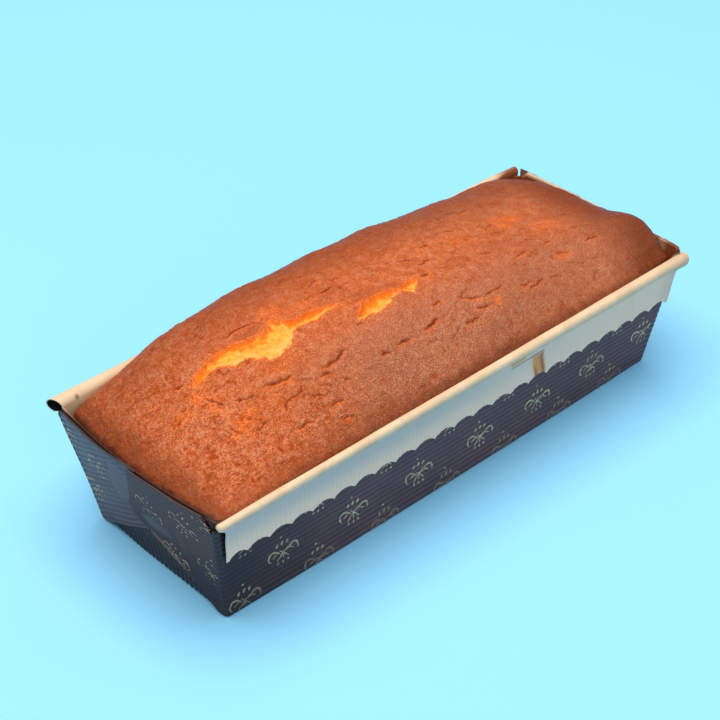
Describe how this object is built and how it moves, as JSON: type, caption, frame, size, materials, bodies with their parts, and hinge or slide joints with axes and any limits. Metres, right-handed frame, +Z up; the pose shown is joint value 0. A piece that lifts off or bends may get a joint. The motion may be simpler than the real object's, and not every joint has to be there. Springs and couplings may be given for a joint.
{
  "type": "loaf sponge cake in a paper case",
  "caption": "Domed loaf sponge cake with a torn top crust, in a ribbed paper loaf case with rolled rims and scalloped flaps.",
  "frame": {"origin": "middle of the case's base, on the surface it stands on", "axes": "+X along the loaf towards its far end, +Y across it towards its back, +Z up"},
  "size_m": [0.2222, 0.0897, 0.0687],
  "materials": {
    "sponge_crust": "matte",
    "printed_paper": "satin",
    "cream_paper": "matte"
  },
  "bodies": {
    "root": {"cake": "sponge_crust", "paper_case": "printed_paper"}
  },
  "joints": []
}
